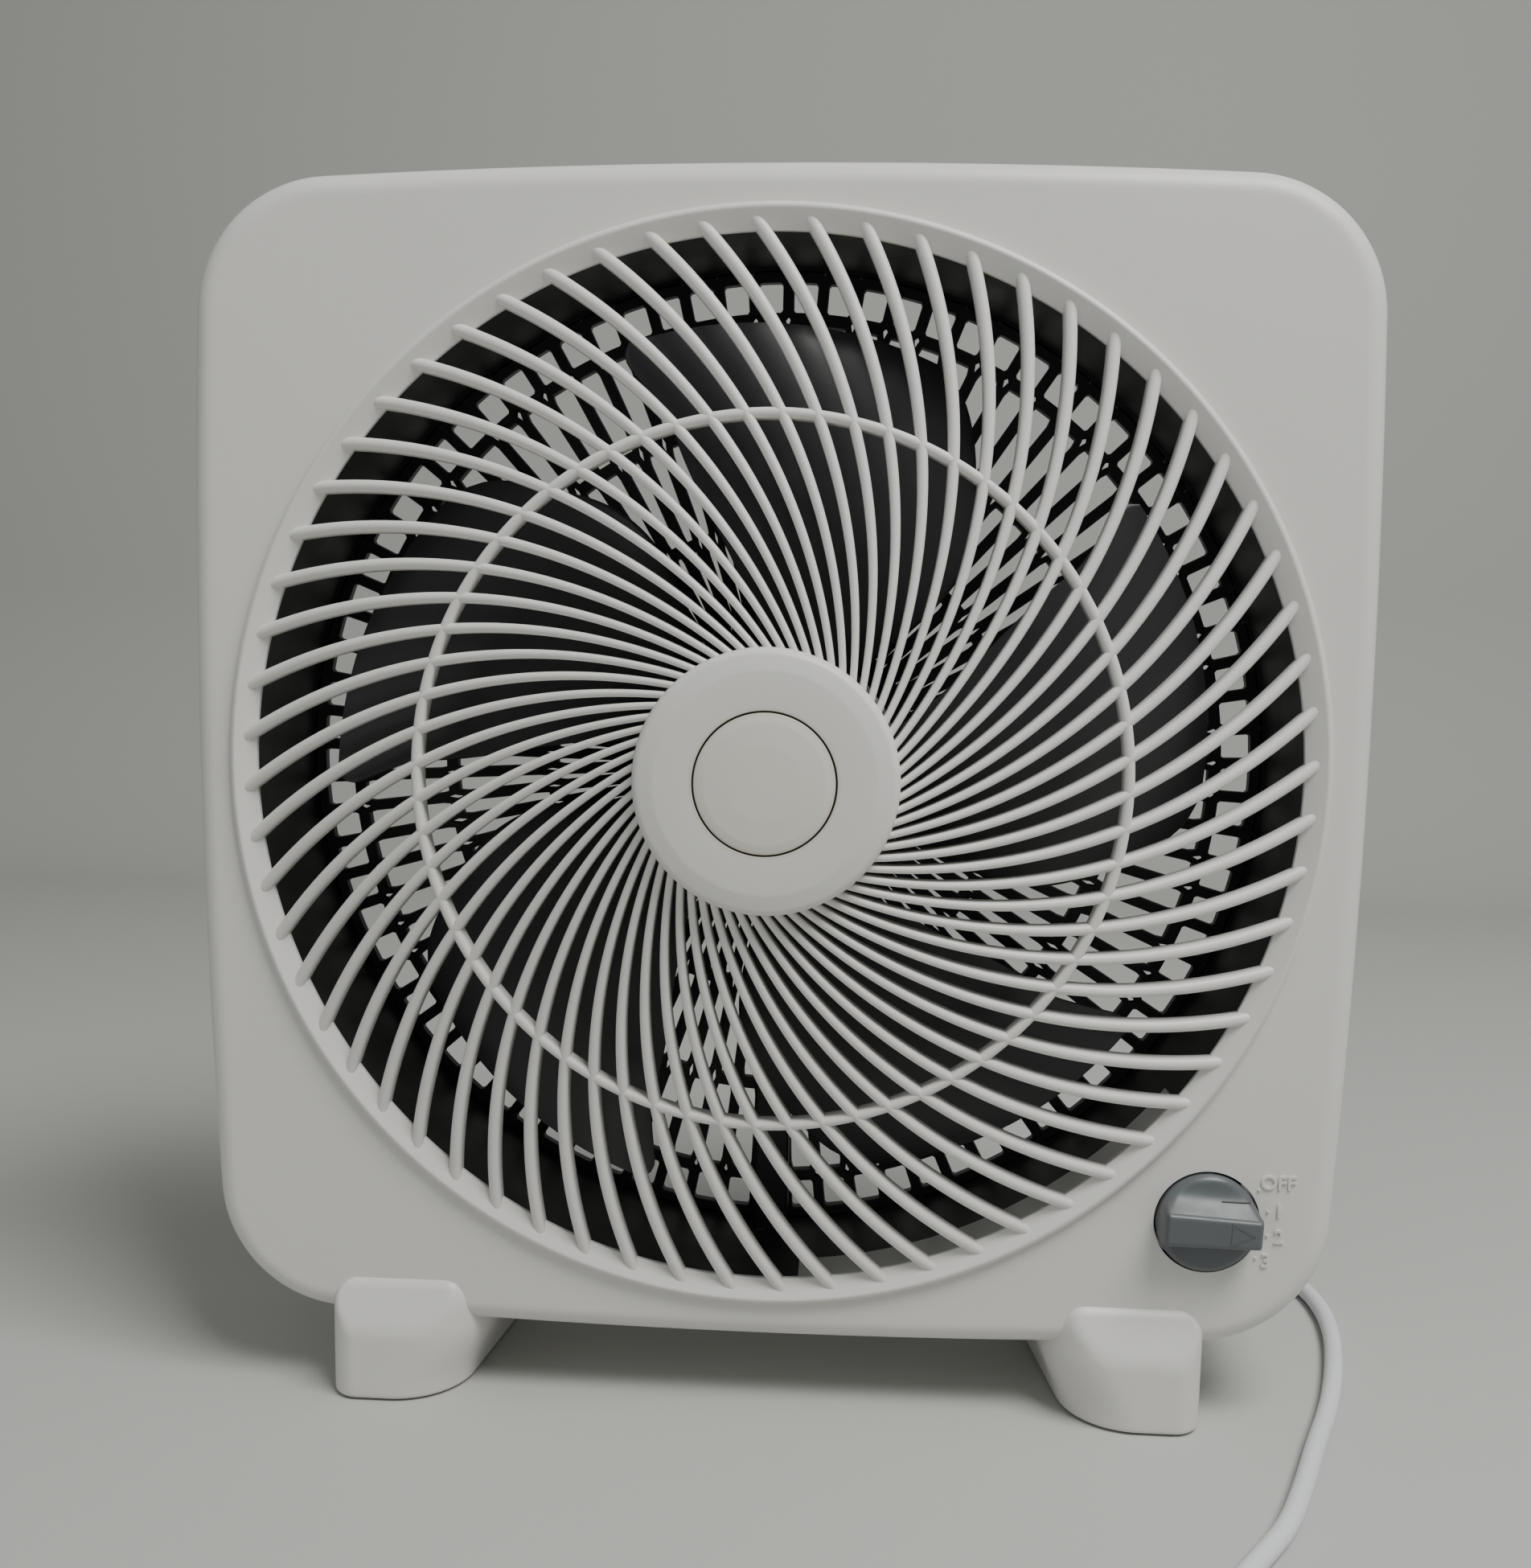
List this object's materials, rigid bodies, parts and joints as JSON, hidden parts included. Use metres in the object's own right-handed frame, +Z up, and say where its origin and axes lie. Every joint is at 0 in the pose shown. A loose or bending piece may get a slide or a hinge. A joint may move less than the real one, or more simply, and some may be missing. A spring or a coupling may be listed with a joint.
{
  "type": "box fan",
  "caption": "Square-cased box fan on two moulded feet, with a domed swirl grille, a slotted rear grille, a speed knob and a mains lead.",
  "frame": {"origin": "centre of the fan's footprint at floor level, measured without the mains lead", "axes": "+X to the right as seen from the front, +Y from the front grille to the back, +Z up"},
  "size_m": [0.4178, 0.3629, 0.4154],
  "materials": {
    "white_moulding": "satin moulded plastic",
    "badge_cream": "satin, slightly warmer than the casing",
    "black_moulding": "fine grained",
    "slate_grey_moulding": "satin",
    "blade_grey": "satin",
    "foot_rubber": "dull",
    "bright_steel": "zinc plated",
    "laminated_iron": "stacked sheet, lacquered",
    "zinc_casting": "as cast",
    "copper": "enamelled copper wire",
    "brass": "plated",
    "capacitor_case": "plain",
    "white_cord": "soft PVC"
  },
  "bodies": {
    "housing": {"front_shell": "white_moulding", "front_grille": "white_moulding", "badge_disc": "badge_cream", "rear_cover": "black_moulding", "rear_grille": "black_moulding", "cable_channel": "black_moulding", "motor_lead": "white_cord", "motor_front_shield": "zinc_casting", "motor_rear_shield": "zinc_casting", "stator_core": "laminated_iron", "front_winding": "copper", "rear_winding": "copper", "front_bearing": "bright_steel", "rear_bearing": "bright_steel", "capacitor": "capacitor_case", "switch_body": "black_moulding", "switch_bracket": "bright_steel", "case_screw_1": "bright_steel", "case_screw_2": "bright_steel", "case_screw_3": "bright_steel", "case_screw_4": "bright_steel", "motor_screw_1": "bright_steel", "motor_screw_2": "bright_steel", "motor_screw_3": "bright_steel", "motor_screw_4": "bright_steel", "foot_pad_1": "foot_rubber", "foot_pad_2": "foot_rubber", "foot_pad_3": "foot_rubber", "foot_pad_4": "foot_rubber", "strain_relief": "white_cord", "power_cord": "white_cord", "cord_coil": "white_cord", "cord_tie": "black_moulding", "cord_tail": "white_cord", "plug_body": "white_cord", "plug_pin_left": "brass", "plug_pin_right": "brass"},
    "rotor": {"rotor_core": "bright_steel", "motor_shaft": "bright_steel", "fan_blade": "blade_grey", "blade_nut": "blade_grey", "drive_pin": "bright_steel"},
    "knob": {"speed_knob": "slate_grey_moulding", "switch_spindle": "bright_steel"}
  },
  "joints": [
    {"name": "fan_spin", "type": "hinge", "parent": "housing", "child": "rotor", "pos_m": [0, 0, 0.22005], "axis": [0, -1, 0], "continuous": true},
    {"name": "speed_knob_turn", "type": "hinge", "parent": "housing", "child": "knob", "pos_m": [0.1494, 0, 0.0729], "axis": [0, -1, 0], "range_deg": [-33.5, 37.6]}
  ]
}
